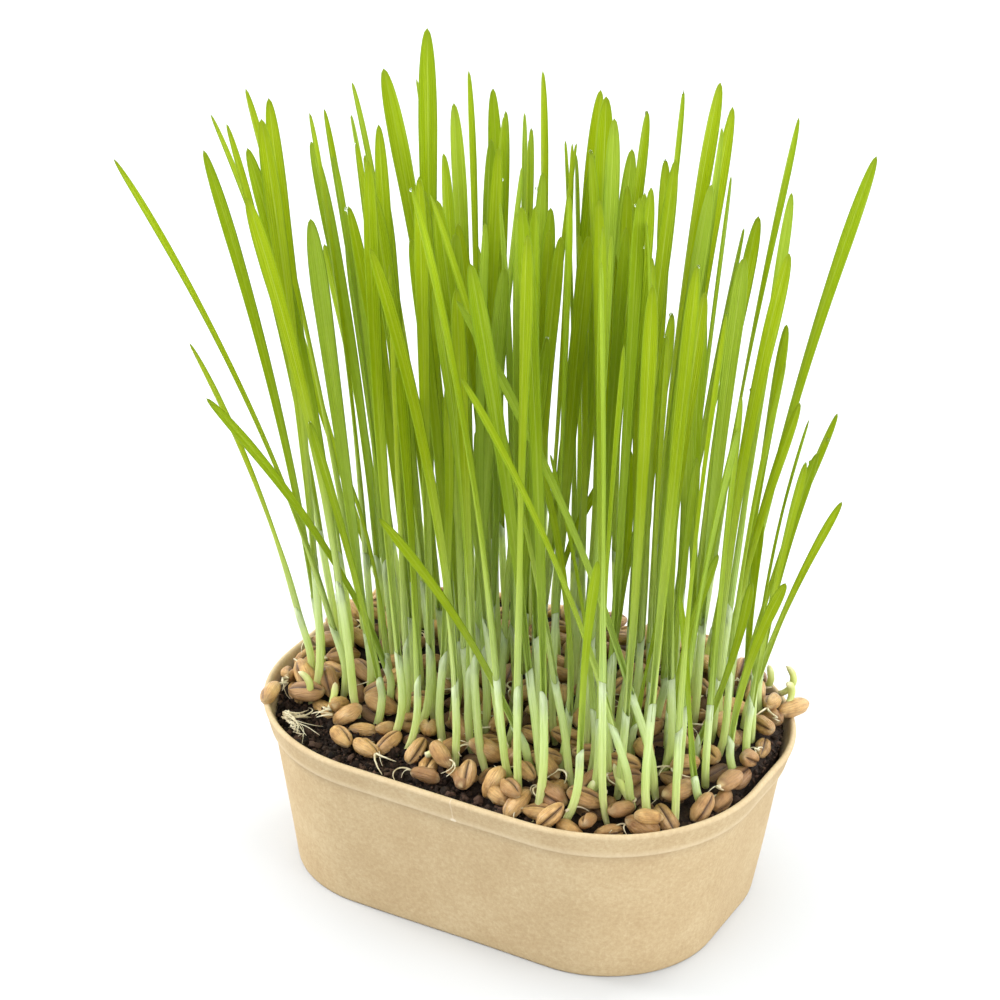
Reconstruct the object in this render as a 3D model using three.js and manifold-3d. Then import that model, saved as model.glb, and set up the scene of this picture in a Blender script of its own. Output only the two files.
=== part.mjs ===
// A tray of wheatgrass: a rounded kraft-paper tray filled with potting soil, a heaped bed of
// sprouted wheat grains on the soil, and the shoots, which rise through the bed in patches.
// Every patch of shoots grows from its own mat of roots under the grains.
// Millimetres, +Z up. The origin is the centre of the tray's flat underside, and the tray's
// length runs along X. The front is -Y, where the bed is lowest and a strip of soil is bare.
import * as THREE from 'three';
import { mergeVertices } from 'three/addons/utils/BufferGeometryUtils.js';
import Module from 'manifold-3d';

const wasm = await Module();
wasm.setup();

// Driving dimensions of the tray. An inset is a distance in from the rim's outline.
const trayLength = 104;
const trayWidth = 76;
const trayHeight = 36;
const cornerRadius = 33;
const cornerTaper = 1.35; // how much the corner radius shrinks for each millimetre of inset
const wall = 1;
const floorThickness = 1.3;
const baseInset = 7.4;
const collarHeight = 5.2;
const collarInset = 1.5; // at the collar's lower edge
const neckInset = 2.4; // where the body starts, just under the collar
const foldThickness = 0.9; // the rim is folded over, which adds this to the wall
const edgeRounding = 0.6; // at the foot and under the collar
const rimRounding = 0.35;
const fitGap = 0.3; // between pieces that rest against each other

// Soil and the recess in its top that holds the root mats.
const soilTop = 32.9;
const soilEdgeTop = 32.2;
const soilShoulderInset = 4.4;
const soilCrownInset = 8;
const soilUnevenness = 0.3;
const recessDepth = 1.6;
const matThickness = 1.1;
const matInset = 1.6; // from the bed's edge to the edge of the recess
const matBottom = soilTop - recessDepth + fitGap;

// The bed of grains, which is heaped towards the back and slopes down to the bare strip.
const bedInset = 3.5;
const bedFrontHeight = 34.6;
const bedBackHeight = 37.4;
const bareStripLine = { x: -0.222, y: -0.975, distance: 27.4 }; // soil lies bare beyond this line
const grainLength = 7.8;
const grainWidth = 4.3;
const grainThickness = 3.9;
const grainClearance = 2.7; // from a shoot's axis to a grain's spine
const grainSpineShare = 0.27; // half of a grain's spine, as a share of its length

// The shoots.
const patchSpacing = 13.2;
const patchRowShare = 0.87; // rows of patches stand closer than columns
const patchDrift = 2;
const shootsPerPatch = 7;
const rootSpacing = 3.5;
const rootMargin = 1.45; // from the edge of the root mat
const shootGap = 0.35;
const stemHalfWidth = 1;
const stemDepth = 1.8;
const throatHalfWidth = 0.75;
const leafHalfWidth = 1.75;
const leafDepth = 0.9;
const widestShare = 0.82; // of the leaf's length
const taperShare = 0.78; // where the leaf starts to narrow to its tip
const leastBreadth = 0.78; // of a leaf, as a share of the widths above
const breadthRange = 0.34;
const leastSheath = 0.16; // where the leaf leaves its sheath, as a share of the height
const sheathRange = 0.12;
const bowSize = 2.5;
const twistSize = 1.2; // in radians, over the whole height
const uprightTop = 39.5; // the stems stand upright up to here, through the bed
const meanTop = 142;
const topSpread = 16;
const lateShare = 0.22; // of all shoots
const lateShareAtRight = 0.4; // added towards the right-hand end
const leastDelay = 14; // how much lower than the mean a late shoot ends
const delayRange = 56;
const leanDistance = 40; // from the middle, where the end leans below are reached
const leftLean = -23;
const rightLean = 6;
const frontLean = -16; // the most that is added in the front rows on the right
const sideLeanShare = 0.16; // outward to the front and back, of the distance from the middle
const leanSpread = 9;
const seed = 31;

const kraft = new THREE.MeshStandardMaterial({ color: 0xd9c094, roughness: 0.85 });
const earth = new THREE.MeshStandardMaterial({ color: 0x1f150f, roughness: 1 });
const husk = new THREE.MeshStandardMaterial({ color: 0xb98a55, roughness: 0.6 });
const leafGreen = new THREE.MeshStandardMaterial({ color: 0x86ad1c, roughness: 0.5 });

// A repeatable random draw from 0 to 1.
let drawState = seed;
function draw() {
  drawState = (drawState * 16807) % 2147483647;
  return drawState / 2147483647;
}

// A draw that is even on both sides of zero and mostly near it.
function sway(size) {
  return size * (draw() + draw() - 1);
}

// Turns a closed three.js geometry into a manifold-3d solid.
function solidOf(geometry) {
  const bare = new THREE.BufferGeometry();
  bare.setAttribute('position', geometry.getAttribute('position'));
  if (geometry.index) bare.setIndex(geometry.index);
  const merged = mergeVertices(bare, 1e-4);
  const vertProperties = new Float32Array(merged.getAttribute('position').array);
  const triVerts = new Uint32Array(merged.index.array);
  return new wasm.Manifold(new wasm.Mesh({ numProp: 3, vertProperties, triVerts }));
}

// The largest body of a solid, without the crumbs that a cut may leave.
function largestBody(solid) {
  return solid.decompose().reduce((a, b) => (b.volume() > a.volume() ? b : a));
}

// Turns a solid back into a named three.js mesh.
function meshOf(name, solid, material) {
  const { vertProperties, triVerts } = solid.getMesh();
  const geometry = new THREE.BufferGeometry();
  geometry.setAttribute('position', new THREE.BufferAttribute(vertProperties, 3));
  geometry.setIndex(new THREE.BufferAttribute(triVerts, 1));
  geometry.computeVertexNormals();
  const mesh = new THREE.Mesh(geometry, material);
  mesh.name = name;
  return mesh;
}

// The solid between rings of points. Each ring has the same number of points, counter-clockwise
// from above, and the rings follow one another upwards or round a profile. Both ends are capped.
function loft(rings) {
  const count = rings[0].length;
  const positions = rings.flat().flatMap((p) => [p.x, p.y, p.z]);
  const index = [];
  for (let r = 0; r + 1 < rings.length; r++) {
    for (let i = 0; i < count; i++) {
      const a = r * count + i;
      const b = r * count + ((i + 1) % count);
      index.push(a, b, b + count, a, b + count, a + count);
    }
  }
  const last = (rings.length - 1) * count;
  for (let i = 1; i + 1 < count; i++) {
    index.push(0, i + 1, i);
    index.push(last, last + i, last + i + 1);
  }
  const geometry = new THREE.BufferGeometry();
  geometry.setAttribute('position', new THREE.Float32BufferAttribute(positions, 3));
  geometry.setIndex(index);
  return solidOf(geometry);
}

// A ring of the tray's rounded outline at an inset and a height.
function trayRing(inset, z, pointsPerCorner = 9) {
  const halfLength = trayLength / 2 - inset;
  const halfWidth = trayWidth / 2 - inset;
  const radius = cornerRadius - cornerTaper * inset;
  const ring = [];
  for (let corner = 0; corner < 4; corner++) {
    const sideX = corner === 0 || corner === 3 ? 1 : -1;
    const sideY = corner < 2 ? 1 : -1;
    for (let i = 0; i < pointsPerCorner; i++) {
      const angle = (Math.PI / 2) * (corner + i / (pointsPerCorner - 1));
      const x = sideX * (halfLength - radius) + radius * Math.cos(angle);
      const y = sideY * (halfWidth - radius) + radius * Math.sin(angle);
      ring.push(new THREE.Vector3(x, y, z));
    }
  }
  return ring;
}

// How far the tray's inner wall lies in from the rim's outline at a height.
function innerWallInset(z) {
  const collarFoot = trayHeight - collarHeight;
  if (z > collarFoot) {
    return wall + (collarInset * (trayHeight - z)) / collarHeight + foldThickness;
  }
  return wall + neckInset + ((baseInset - neckInset) * (collarFoot - z)) / collarFoot;
}

// The paper tray: a flat base, flared sides, and a collar that stands out under the rim.
function tray() {
  const collarFoot = trayHeight - collarHeight;
  return loft([
    trayRing(baseInset + edgeRounding, 0),
    trayRing(baseInset, edgeRounding),
    trayRing(neckInset, collarFoot - edgeRounding),
    trayRing(collarInset, collarFoot),
    trayRing(0, trayHeight - rimRounding),
    trayRing(rimRounding, trayHeight),
    trayRing(wall - rimRounding / 2, trayHeight),
    trayRing(innerWallInset(trayHeight), trayHeight - rimRounding),
    trayRing(innerWallInset(collarFoot), collarFoot),
    trayRing(innerWallInset(floorThickness), floorThickness),
  ]);
}

// Cuts a convex outline back to one side of a line. The line's normal points to what is cut off.
function cutBack(outline, normalX, normalY, distance) {
  const kept = [];
  outline.forEach((a, i) => {
    const b = outline[(i + 1) % outline.length];
    const beyondA = normalX * a.x + normalY * a.y - distance;
    const beyondB = normalX * b.x + normalY * b.y - distance;
    if (beyondA <= 0) kept.push(a);
    if (beyondA * beyondB < 0) kept.push(a.clone().lerp(b, beyondA / (beyondA - beyondB)));
  });
  return kept;
}

// The outline of the bed of grains, at an inset from its own edge.
function bedOutline(inset, z) {
  const { x, y, distance } = bareStripLine;
  return cutBack(trayRing(bedInset + inset, z, 7), x, y, distance - inset);
}

// Whether a point lies inside a convex outline by at least a margin.
function isInside(outline, x, y, margin) {
  return outline.every((a, i) => {
    const b = outline[(i + 1) % outline.length];
    const length = Math.hypot(b.x - a.x, b.y - a.y);
    if (length < 1e-6) return true;
    return ((b.x - a.x) * (y - a.y) - (b.y - a.y) * (x - a.x)) / length >= margin;
  });
}

// The height of the bed: low at the front, heaped at the back and gently crowned.
function bedHeight(x, y) {
  const share = THREE.MathUtils.smoothstep(y + 0.12 * x, -26, 14);
  return bedFrontHeight + (bedBackHeight - bedFrontHeight) * share;
}

// An upright prism on an outline.
function prism(outline, bottom, top) {
  const at = (z) => outline.map((p) => new THREE.Vector3(p.x, p.y, z));
  return loft([at(bottom), at(top)]);
}

// The soil fills the tray. Its top is uneven at the edge and has a recess for the root mats.
function soil() {
  const rise = (ring, size) => ring.map((p) => p.setZ(p.z + sway(size)));
  const sides = [
    trayRing(innerWallInset(floorThickness) + fitGap, floorThickness + fitGap),
    trayRing(innerWallInset(trayHeight - collarHeight) + fitGap, trayHeight - collarHeight - fitGap),
    trayRing(innerWallInset(soilEdgeTop) + fitGap, soilEdgeTop),
  ];
  const shoulder = rise(trayRing(soilShoulderInset, soilTop - 0.4), soilUnevenness);
  const body = loft([...sides, shoulder, trayRing(soilCrownInset, soilTop)]);
  return body.subtract(prism(bedOutline(matInset, 0), soilTop - recessDepth, soilTop + 5));
}

// Centres of the patches: a staggered grid over the bed, moved a little at random.
function patchCentres(outline) {
  const centres = [];
  const rowSpacing = patchSpacing * patchRowShare;
  for (let row = -4; row <= 4; row++) {
    for (let column = -5; column <= 5; column++) {
      const x = (column + (row % 2 ? 0.5 : 0)) * patchSpacing + sway(patchDrift);
      const y = row * rowSpacing + 2 + sway(patchDrift);
      if (isInside(outline, x, y, 1.5)) centres.push(new THREE.Vector2(x, y));
    }
  }
  return centres;
}

// The part of an outline that is nearer to one centre than to any other, less half the gap.
function cellOf(centre, centres, outline) {
  return centres.reduce((cell, other) => {
    if (other === centre) return cell;
    const normal = other.clone().sub(centre).normalize();
    const middle = other.clone().add(centre).multiplyScalar(0.5);
    return cutBack(cell, normal.x, normal.y, normal.dot(middle) - fitGap / 2);
  }, outline);
}

// Where the shoots of a patch leave its root mat: drawn at random, clear of each other.
function rootsOf(patch, wanted) {
  const roots = patch.shoots.map((shoot) => shoot.root);
  const taken = roots.length;
  for (let tries = 0; tries < 300 && roots.length < wanted; tries++) {
    const x = patch.centre.x + (draw() - 0.5) * 1.4 * patchSpacing;
    const y = patch.centre.y + (draw() - 0.5) * 1.4 * patchSpacing;
    const clear = roots.every((r) => Math.hypot(r.x - x, r.y - y) > rootSpacing);
    if (clear && isInside(patch.outline, x, y, rootMargin)) roots.push(new THREE.Vector2(x, y));
  }
  return roots.slice(taken);
}

// Shoots that stray from the rest: where each stands, how far its tip leans from there, and
// the height of its tip.
const strays = [
  { x: -42, y: -13, leanX: -18, leanY: -12, top: 109 },
  { x: -33, y: -14, leanX: -38, leanY: -17, top: 145 },
  { x: -26, y: -12, leanX: -28, leanY: -20, top: 102 },
  { x: 31, y: 27, leanX: 17, leanY: 13, top: 146 },
  { x: 25, y: 25, leanX: 11, leanY: 6, top: 154 },
  { x: 38, y: 20, leanX: 11, leanY: 12, top: 98 },
  { x: 42, y: 13, leanX: 12, leanY: 10, top: 84 },
  { x: 33, y: -23, leanX: -30, leanY: -11, top: 120 },
  { x: 10, y: -21, leanX: -26, leanY: -9, top: 86 },
  { x: 35, y: -17, leanX: -37, leanY: -10, top: 131 },
  { x: 18, y: -19, leanX: -29, leanY: -2, top: 147 },
  { x: -29, y: 12, leanX: -1, leanY: -1, top: 165 },
];

// The line, width and turn of one shoot. Its axis is upright through the bed and then leans
// to its tip, a little bowed. The leaf leaves the sheath at a share of the height.
function shootFrom(root, lean, top) {
  return {
    root,
    lean,
    top,
    bow: new THREE.Vector2(sway(bowSize), sway(bowSize)),
    heading: draw() * Math.PI,
    turn: sway(twistSize),
    breadth: leastBreadth + breadthRange * draw(),
    sheath: leastSheath + sheathRange * draw(),
  };
}

// A random lean: outwards near the ends of the tray, most of all on the left, and to the left
// in the front rows on the right.
function drawnLean(root, looseness) {
  const end = (root.x / leanDistance) ** 2 * (root.x < 0 ? leftLean : rightLean);
  const front = root.y < -12 && root.x > -5 ? frontLean * draw() : 0;
  const outward = new THREE.Vector2(end + front, root.y * sideLeanShare);
  const spread = leanSpread * looseness;
  return outward.add(new THREE.Vector2(sway(spread), sway(spread)));
}

// A random height: most shoots are nearly full-grown and some are late, above all at the
// right-hand end.
function drawnTop(root) {
  const atRight = THREE.MathUtils.smoothstep(root.x, 20, 42);
  const late = draw() < lateShare + lateShareAtRight * atRight;
  return late ? meanTop - leastDelay - delayRange * draw() : meanTop + sway(topSpread);
}

const shootBottom = matBottom + 0.4;

// A point on a shoot's axis at a height.
function axisPoint(shoot, z) {
  const share = Math.max(0, (z - uprightTop) / (shoot.top - uprightTop));
  const ease = share * (0.55 + 0.45 * share);
  const arch = 4 * share * (1 - share);
  const x = shoot.root.x + shoot.lean.x * ease + shoot.bow.x * arch;
  const y = shoot.root.y + shoot.lean.y * ease + shoot.bow.y * arch;
  return new THREE.Vector3(x, y, z);
}

// Half the shoot's width at a share of its height: a round sheath, a narrow throat where the
// leaf comes out of it, and a blade that is widest near four fifths and ends in a blunt tip.
function halfWidth(shoot, share) {
  if (share <= shoot.sheath) return stemHalfWidth;
  const leafShare = (share - shoot.sheath) / (1 - shoot.sheath);
  const swell = Math.min(1, leafShare / widestShare) ** 1.4;
  const taper = Math.max(0, (leafShare - taperShare) / (1 - taperShare));
  const tip = Math.sqrt(1 - taper ** 2);
  return shoot.breadth * (throatHalfWidth + (leafHalfWidth - throatHalfWidth) * swell) * tip;
}

// Whether two shoots keep apart over their whole height. Only those whose axes come near each
// other are compared as solids.
function keepApart(a, b) {
  const nearDistance = 9;
  const near = [0.1, 0.3, 0.5, 0.7, 0.85, 1].some((share) => {
    const z = uprightTop + share * (Math.min(a.top, b.top) - uprightTop);
    const p = axisPoint(a, z);
    const q = axisPoint(b, z);
    return Math.hypot(p.x - q.x, p.y - q.y) < nearDistance;
  });
  return !near || a.envelope.intersect(b.solid).isEmpty();
}

// The solid of one shoot: a three-sided sheath that passes into a keeled leaf. The margin
// makes it larger all round.
function shootSolid(shoot, margin = 0) {
  const reach = shoot.top - shootBottom;
  const leafShares = [0.4, taperShare, 0.96];
  const shares = [
    0,
    (uprightTop - shootBottom) / reach,
    shoot.sheath,
    ...leafShares.map((s) => shoot.sheath + s * (1 - shoot.sheath)),
  ];
  const rings = shares.map((share, i) => {
    const centre = axisPoint(shoot, shootBottom + share * reach);
    const ahead = axisPoint(shoot, shootBottom + share * reach + 1).sub(centre).normalize();
    const angle = shoot.heading + shoot.turn * share;
    const across = new THREE.Vector3(Math.cos(angle), Math.sin(angle), 0);
    across.addScaledVector(ahead, -across.dot(ahead)).normalize();
    const back = new THREE.Vector3().crossVectors(ahead, across);
    const half = halfWidth(shoot, share) + margin;
    const depth = (i < 3 ? stemDepth : leafDepth) + 2 * margin;
    const at = (u, v) => centre.clone().addScaledVector(across, u).addScaledVector(back, v);
    return [at(half, -depth / 3), at(0, (2 * depth) / 3), at(-half, -depth / 3)];
  });
  const tip = axisPoint(shoot, shoot.top);
  return spike(rings, tip);
}

// A loft of rings that ends in a point.
function spike(rings, tip) {
  const count = rings[0].length;
  const positions = [...rings.flat(), tip].flatMap((p) => [p.x, p.y, p.z]);
  const index = [];
  rings.forEach((ring, r) => {
    for (let i = 0; i < count; i++) {
      const a = r * count + i;
      const b = r * count + ((i + 1) % count);
      if (r + 1 === rings.length) index.push(a, b, rings.length * count);
      else index.push(a, b, b + count, a, b + count, a + count);
    }
  });
  for (let i = 1; i + 1 < count; i++) index.push(0, i + 1, i);
  const geometry = new THREE.BufferGeometry();
  geometry.setAttribute('position', new THREE.Float32BufferAttribute(positions, 3));
  geometry.setIndex(index);
  return solidOf(geometry);
}

// The plain hole that a shoot stands in: an upright three-sided prism a little wider than it.
function shootHole(shoot) {
  const reach = 1.8;
  const corners = [0, 1, 2].map((i) => {
    const angle = shoot.heading + Math.PI / 2 + (i * 2 * Math.PI) / 3;
    const x = shoot.root.x + reach * Math.cos(angle);
    const y = shoot.root.y + reach * Math.sin(angle);
    return new THREE.Vector3(x, y, 0);
  });
  return prism(corners, soilTop - 1, uprightTop + 3);
}

// All patches: each has the outline of its root mat and the shoots that grow from it.
function growPatches() {
  const ground = bedOutline(matInset + fitGap, 0);
  const centres = patchCentres(ground);
  const patches = centres.map((centre) => {
    const outline = cellOf(centre, centres, ground);
    return { centre, outline, shoots: [] };
  });
  const grown = [];
  const add = (patch, shoot) => {
    shoot.solid = shootSolid(shoot);
    shoot.envelope = shootSolid(shoot, shootGap);
    if (!grown.every((other) => keepApart(shoot, other))) return false;
    patch.shoots.push(shoot);
    grown.push(shoot);
    return true;
  };
  for (const stray of strays) {
    const root = new THREE.Vector2(stray.x, stray.y);
    const patch = patches.find((p) => isInside(p.outline, root.x, root.y, 0));
    while (!isInside(patch.outline, root.x, root.y, rootMargin)) root.lerp(patch.centre, 0.1);
    const shoot = shootFrom(root, new THREE.Vector2(stray.leanX, stray.leanY), stray.top);
    shoot.bow.set(0, 0);
    add(patch, shoot);
  }
  for (const patch of patches) {
    for (const root of rootsOf(patch, shootsPerPatch)) {
      const top = drawnTop(root);
      for (let tries = 0; tries < 40; tries++) {
        const shoot = shootFrom(root, drawnLean(root, 1 - tries / 60), top - tries / 4);
        if (add(patch, shoot)) break;
      }
    }
  }
  return patches.filter((patch) => patch.shoots.length > 0);
}

// A patch of shoots, fused to the mat of roots that they grow from.
function patchSolid(patch) {
  const mat = prism(patch.outline, matBottom, matBottom + matThickness);
  return wasm.Manifold.union([mat, ...patch.shoots.map((shoot) => shoot.solid)]);
}

// One grain: a six-sided body, pointed at both ends.
function grainSolid(grain) {
  const rings = [-0.26, 0.26].map((share) => {
    return [0, 1, 2, 3, 4, 5].map((i) => {
      const angle = (i * Math.PI) / 3;
      const y = (grain.size * grainWidth * Math.cos(angle)) / 2;
      const z = (grain.size * grainThickness * Math.sin(angle)) / 2;
      return new THREE.Vector3(share * grain.size * grainLength, y, z);
    });
  });
  const half = (grain.size * grainLength) / 2;
  const turn = new THREE.Euler(0, grain.pitch, grain.heading, 'ZYX');
  const points = [new THREE.Vector3(-half, 0, 0), ...rings.flat(), new THREE.Vector3(half, 0, 0)];
  points.forEach((p) => p.applyEuler(turn).add(grain.centre));
  const positions = points.flatMap((p) => [p.x, p.y, p.z]);
  const last = points.length - 1;
  const index = [];
  for (let i = 0; i < 6; i++) {
    const a = 1 + i;
    const b = 1 + ((i + 1) % 6);
    index.push(0, b, a, a, b, b + 6, a, b + 6, a + 6, a + 6, b + 6, last);
  }
  const geometry = new THREE.BufferGeometry();
  geometry.setAttribute('position', new THREE.Float32BufferAttribute(positions, 3));
  geometry.setIndex(index);
  return solidOf(geometry);
}

// The distance in plan from a point to the line between two others.
function planDistance(point, a, b) {
  const alongX = b.x - a.x;
  const alongY = b.y - a.y;
  const reach = (point.x - a.x) * alongX + (point.y - a.y) * alongY;
  const share = THREE.MathUtils.clamp(reach / (alongX ** 2 + alongY ** 2), 0, 1);
  return Math.hypot(point.x - a.x - share * alongX, point.y - a.y - share * alongY);
}

// Which side of the line from a to b a point lies on in plan.
function sideOf(point, a, b) {
  return Math.sign((b.x - a.x) * (point.y - a.y) - (b.y - a.y) * (point.x - a.x));
}

// The distance in plan between two straight lines, which is nothing where they cross.
function lineDistance([a, b], [c, d]) {
  const crossing = sideOf(a, c, d) !== sideOf(b, c, d) && sideOf(c, a, b) !== sideOf(d, a, b);
  if (crossing) return 0;
  const ends = [planDistance(a, c, d), planDistance(b, c, d)];
  return Math.min(...ends, planDistance(c, a, b), planDistance(d, a, b));
}

// Grains dropped at random over the whole bed, side by side and clear of the shoots where
// there is room. The gaps they may leave shrink as the bed fills up.
function scatterGrains(shoots) {
  const outline = bedOutline(0.6, 0);
  const walls = trayRing(bedInset + 1.9, 0);
  const grains = [];
  const looseTries = 3000;
  for (let tries = 0; tries < 2 * looseTries; tries++) {
    const x = (draw() - 0.5) * trayLength;
    const y = (draw() - 0.5) * trayWidth;
    const heading = draw() * Math.PI;
    const pitch = sway(0.35);
    const size = 0.92 + 0.16 * draw();
    const sunk = 0.6 * draw();
    if (!isInside(outline, x, y, 0)) continue;
    const centre = new THREE.Vector3(x, y, bedHeight(x, y) + 0.9 - sunk);
    const along = new THREE.Vector3(Math.cos(heading), Math.sin(heading), 0);
    along.multiplyScalar(grainSpineShare * grainLength);
    const spine = [centre.clone().add(along), centre.clone().sub(along)];
    if (!spine.every((end) => isInside(walls, end.x, end.y, 0))) continue;
    const sideGap = grainWidth * (tries < looseTries ? 0.94 : 0.8);
    const rootGap = grainClearance * (tries < looseTries ? 1 : 0.72);
    const clear = grains.every((grain) => lineDistance(grain.spine, spine) > sideGap);
    const free = shoots.every((shoot) => planDistance(shoot.root, ...spine) > rootGap);
    if (clear && free) grains.push({ centre, heading, pitch, size, spine });
  }
  return grains;
}

// The bed: packed grains below, whole grains that stand half out of it, and a plain hole for
// every shoot.
function grainBed(patches) {
  const outline = bedOutline(0, 0);
  const ring = (scale, heightAt) => {
    return outline.map((p) => {
      const x = p.x * scale;
      const y = p.y * scale;
      return new THREE.Vector3(x, y, heightAt(x, y));
    });
  };
  const packed = loft([
    ring(1, () => soilTop + fitGap),
    ring(1, (x, y) => bedHeight(x, y) - 1),
    ring(0.95, bedHeight),
    ring(0.6, (x, y) => bedHeight(x, y) + 0.3),
  ]);
  const shoots = patches.flatMap((patch) => patch.shoots);
  const holes = wasm.Manifold.union(shoots.map(shootHole));
  const heap = wasm.Manifold.union([packed, ...scatterGrains(shoots).map(grainSolid)]);
  return largestBody(heap.subtract(holes));
}

const group = new THREE.Group();
const patches = growPatches();
group.add(meshOf('tray', tray(), kraft));
group.add(meshOf('soil', soil(), earth));
group.add(meshOf('grain_bed', grainBed(patches), husk));
patches.forEach((patch, i) => {
  const name = `shoots_${String(i + 1).padStart(2, '0')}`;
  group.add(meshOf(name, patchSolid(patch), leafGreen));
});

export default group;
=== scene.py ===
"""Looks of the wheatgrass tray: a kraft-paper tray, moist soil, sprouted wheat grains, and the
shoots with their pale sheaths, veined leaves and drops of water. Sizes are in millimetres until a
mesh is made, and the places of the shoots are read from the frame."""

import math
import random

import bpy
import numpy as np
from mathutils import Matrix, Vector, noise


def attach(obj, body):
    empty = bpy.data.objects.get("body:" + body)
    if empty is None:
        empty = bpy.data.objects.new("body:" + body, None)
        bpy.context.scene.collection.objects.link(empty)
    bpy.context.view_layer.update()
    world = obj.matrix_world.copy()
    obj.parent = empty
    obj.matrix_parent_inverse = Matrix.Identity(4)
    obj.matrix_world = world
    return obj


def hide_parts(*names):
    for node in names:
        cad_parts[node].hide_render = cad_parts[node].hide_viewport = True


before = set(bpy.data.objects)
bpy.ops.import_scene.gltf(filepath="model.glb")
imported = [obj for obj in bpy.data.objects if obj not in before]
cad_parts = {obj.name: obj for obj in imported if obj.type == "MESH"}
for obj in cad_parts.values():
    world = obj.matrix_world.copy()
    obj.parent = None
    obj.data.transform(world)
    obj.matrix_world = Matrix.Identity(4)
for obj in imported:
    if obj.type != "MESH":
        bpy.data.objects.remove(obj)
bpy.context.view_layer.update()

MM = 0.001
FULL_TURN = 2 * math.pi

# The tray, as in the part's source.
TRAY_LENGTH = 104
TRAY_WIDTH = 76
TRAY_HEIGHT = 36
CORNER_RADIUS = 33
CORNER_TAPER = 1.35
BASE_INSET = 7.4
COLLAR_FOOT = 30.8
COLLAR_INSET = 1.5
NECK_INSET = 2.4
LIP_WIDTH = 1.9
SEAM_X = 3.9
SEAM_FOOT = 31.2
SEAM_SPECK_HEIGHT = 30.9

# The bed: its outline, its height, and the heap at its left end. The bare strip lies beyond a
# line, given as a direction and a distance.
BED_INSET = 2.2
BED_FRONT = 34.6
BED_BACK = 37.4
BARE_STRIP = (-0.222, -0.975, 27.4)
HEAP_CENTRE = (-43, 6)
HEAP_REACH = 13
HEAP_RISE = 2.2
WALL_INSET = 3.4
BARE_SOIL_HEIGHT = 32.3
CRUMB_COUNT = 22000

# The shoots. The bend of a foot dies away with its height. Leaves are slimmer than in the frame,
# those of short and leaning shoots most. A rolled leaf turns by ROLLED_TURN radians in its sheath.
MAT_TOP = 32.7
FOOT_DECAY = 4.2
KNEE_HEIGHT = 4
SHORT_TOP = 112
SHEATH_RADIUS = 0.80
LEAF_SLENDERNESS = 0.94
SHORT_SLENDERNESS = 0.60
LEANING_SLENDERNESS = 0.68
LEAF_TUBE_RADIUS = 0.57
ROLLED_TURN = 5.2
ROLLED_OFFSET = 0.54

# The kernels. They are kept apart as bars with round ends, each along its kernel's spine.
KERNEL_RADIUS = 1.66
KERNEL_HALF_SPINE = 1.85
KERNEL_WIDTH_SHARE = 0.272
KERNEL_DEPTH_SHARE = 0.238
KERNEL_END = 2.9
SHORTEST_KERNEL = 5.9
LONGEST_KERNEL = 7.5
KERNEL_COUNT = 640
WALL_COUNT = 160
SUNKEN_COUNT = 260
SINK_DEPTH = 1.1
PLACES_TRIED = 16

# Kernels that lie on the bare strip or on the rim: x, y, height of the centre, heading in degrees.
STRAY_KERNELS = (
    (-20.4, -27.6, 34.2, -20),
    (-26.5, -26.6, 34.4, -30),
    (-6.0, -30.0, 34.0, 5),
    (1.0, -28.5, 34.6, -55),
    (9.4, -29.6, 34.2, -25),
    (19.0, -30.6, 34.2, 15),
    (-45.2, -22.6, 36.6, 105),
    (46.4, 22.6, 37.3, 62),
)

# Short sprouts that haven't opened: x, y, heading in degrees, length, how far they curl.
SHORT_SPROUTS = (
    (33.4, -21.5, 150, 9.5, 0.5),
    (24.0, -25.6, 60, 6.0, 0.7),
    (42.2, 25.2, 20, 9.0, 1.6),
    (45.4, 21.0, 80, 8.0, 1.9),
    (38.6, 27.0, -40, 7.0, 1.7),
    (-33.0, -20.5, 100, 6.5, 0.9),
    (8.0, -23.5, 120, 7.0, 0.6),
    (-8.5, -25.5, 30, 5.5, 0.9),
    (-40.5, -19.5, 10, 9.0, 1.9),
)

# The bundle of bare roots at the left end of the strip.
ROOT_BUNDLE = (-39.5, -25.8)
ROOT_BUNDLE_HEIGHT = 34.3
ROOT_BUNDLE_HEADING = -22
ROOT_BUNDLE_COUNT = 22
ROOTLET_CHANCE = 0.72

# The drops of water.
DROP_CHANCE = 0.16
SMALLEST_DROP = 0.26
LARGEST_DROP = 0.44

# The camera, in degrees and millimetres; its focal length is in pixels of a picture 1000 wide.
CAMERA_AZIMUTH = 28.14
CAMERA_ELEVATION = 26.93
CAMERA_ROLL = 1.10
CAMERA_TARGET = (-68.17, 114.13, 13.12)
CAMERA_DISTANCE = 700
FOCAL_PIXELS = 2919.7
SENSOR_WIDTH = 36

draw = random.Random(7)


# Meshes


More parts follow.
